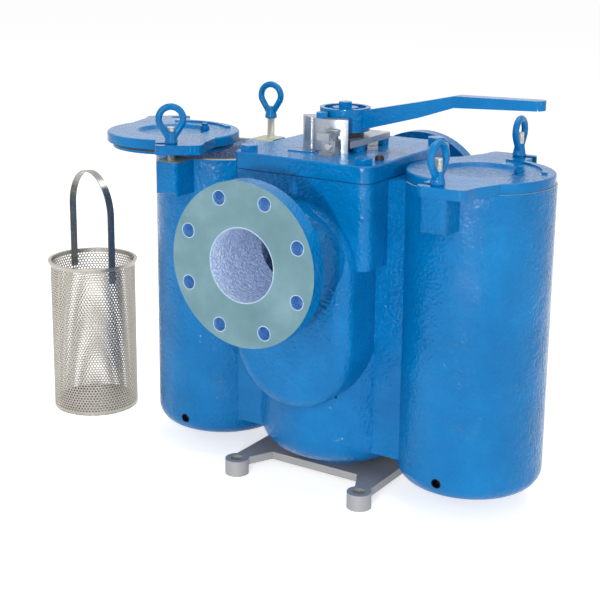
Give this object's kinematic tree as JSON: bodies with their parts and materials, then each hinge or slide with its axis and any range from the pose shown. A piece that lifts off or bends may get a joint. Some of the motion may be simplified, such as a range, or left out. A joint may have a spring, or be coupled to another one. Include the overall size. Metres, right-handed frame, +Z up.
{
  "type": "duplex sea water strainer",
  "caption": "Duplex sea water strainer with two lidded basket chambers, a lever-worked diverter between them, pipe flanges and a loose basket beside it.",
  "frame": {"origin": "on the floor, at the middle of the four feet, under the diverter stem", "axes": "+Z up; -Y towards the front outlet flange; +X towards the working chamber and the lever's end"},
  "size_m": [0.8872, 0.528, 0.5905],
  "materials": {
    "blue_paint": "gloss",
    "bare_steel": "satin",
    "zinc_steel": "satin",
    "bracket_steel": "matte",
    "stainless_steel": "satin",
    "basket_mesh": "satin",
    "bronze": "satin",
    "black_rubber": "matte",
    "gasket_fibre": "matte"
  },
  "bodies": {
    "strainer": {"body_casting": "blue_paint", "foot_bracket": "bracket_steel", "foot_bolts": "zinc_steel", "bonnet": "blue_paint", "bonnet_gasket": "gasket_fibre", "bonnet_bolts": "blue_paint", "bonnet_cap": "black_rubber", "gland_bush": "bronze", "stem_seal": "black_rubber", "stop_plate": "bare_steel", "stop_plate_screws": "zinc_steel", "lock_block": "bare_steel", "lock_block_bolt": "blue_paint", "latch_bracket": "bare_steel", "latch_screw": "zinc_steel", "thrust_washer": "bronze", "cover_studs": "zinc_steel", "basket_shell": "basket_mesh", "basket_bottom": "basket_mesh", "basket_rim": "stainless_steel", "basket_bail": "stainless_steel", "spare_basket_shell": "basket_mesh", "spare_basket_bottom": "basket_mesh", "spare_basket_rim": "stainless_steel", "spare_basket_bail": "stainless_steel"},
    "diverter": {"diverter_rotor": "bronze", "diverter_stem": "stainless_steel", "stem_key": "stainless_steel", "lever_handle": "blue_paint", "lever_washer": "blue_paint", "lever_bolt": "blue_paint"},
    "slide": {"lock_slide": "bare_steel"},
    "left_front_nut": {"left_front_eye_nut": "blue_paint"},
    "left_cover": {"left_cover": "blue_paint", "left_cover_ring": "black_rubber", "left_vent_plug": "blue_paint"},
    "left_rear_nut": {"left_rear_eye_nut": "blue_paint"},
    "right_cover": {"right_cover": "blue_paint", "right_cover_ring": "black_rubber", "right_vent_plug": "blue_paint"},
    "right_front_nut": {"right_front_eye_nut": "blue_paint"},
    "right_rear_nut": {"right_rear_eye_nut": "blue_paint"}
  },
  "joints": [
    {"name": "lever_swing", "type": "hinge", "parent": "strainer", "child": "diverter", "pos_m": [0, 0, 0.56], "axis": [0, 0, 1], "range_deg": [0, 180]},
    {"name": "lock_slide", "type": "slide", "parent": "strainer", "child": "slide", "axis": [0, 1, 0], "range_m": [0, 0.008]},
    {"name": "left_cover_lift", "type": "slide", "parent": "strainer", "child": "left_front_nut", "axis": [0, 0, 1], "range_m": [-0.0015, 0.003]},
    {"name": "left_cover_swing", "type": "hinge", "parent": "left_front_nut", "child": "left_cover", "pos_m": [-0.22, -0.132, 0.49], "axis": [0, 0, 1], "range_deg": [-36.6, 70]},
    {"name": "left_rear_nut_rise", "type": "slide", "parent": "strainer", "child": "left_rear_nut", "axis": [0, 0, 1], "range_m": [-0.003, 0.006]},
    {"name": "right_cover_lift", "type": "slide", "parent": "strainer", "child": "right_cover", "axis": [0, 0, 1], "range_m": [0, 0.011]},
    {"name": "right_front_nut_rise", "type": "slide", "parent": "strainer", "child": "right_front_nut", "axis": [0, 0, 1], "range_m": [0, 0.011]},
    {"name": "right_rear_nut_rise", "type": "slide", "parent": "strainer", "child": "right_rear_nut", "axis": [0, 0, 1], "range_m": [0, 0.011]}
  ],
  "couplings": [
    {"joint": "right_front_nut_rise", "follows": "right_cover_lift", "ratio": 1},
    {"joint": "right_rear_nut_rise", "follows": "right_cover_lift", "ratio": 1}
  ]
}
